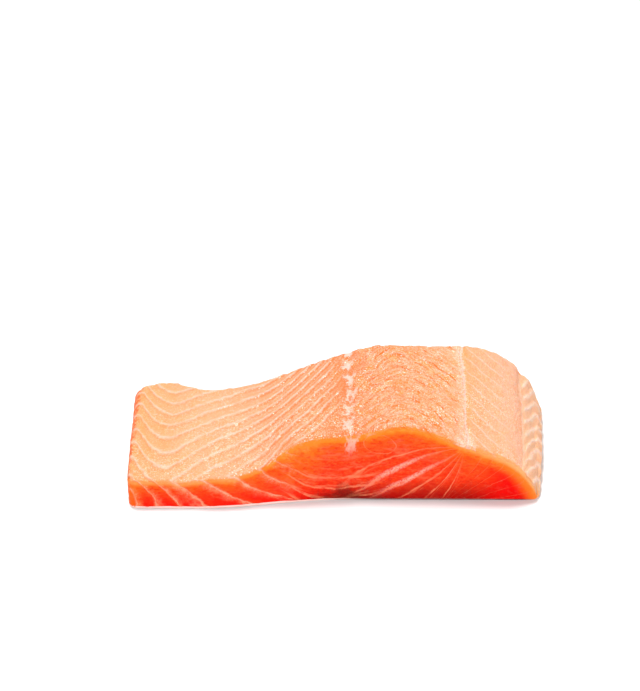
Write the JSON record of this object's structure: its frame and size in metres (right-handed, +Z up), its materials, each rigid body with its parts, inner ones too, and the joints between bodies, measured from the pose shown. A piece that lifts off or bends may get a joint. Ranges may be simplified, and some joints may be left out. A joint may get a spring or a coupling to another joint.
{
  "type": "raw salmon fillet",
  "caption": "Raw salmon fillet portion lying on its skin: thin belly end, thick rounded loin, two straight cut faces and flake lines in relief.",
  "frame": {"origin": "middle of the bounding box, on the flat skin side that the fillet rests on", "axes": "+X runs along the fillet portion from the thin belly end to the thick back edge, +Z up out of the skin, and -Y out of the front cut face"},
  "size_m": [0.1682, 0.0584, 0.0349],
  "materials": {
    "flesh": null
  },
  "bodies": {
    "root": {"salmon_fillet": "flesh"}
  },
  "joints": []
}
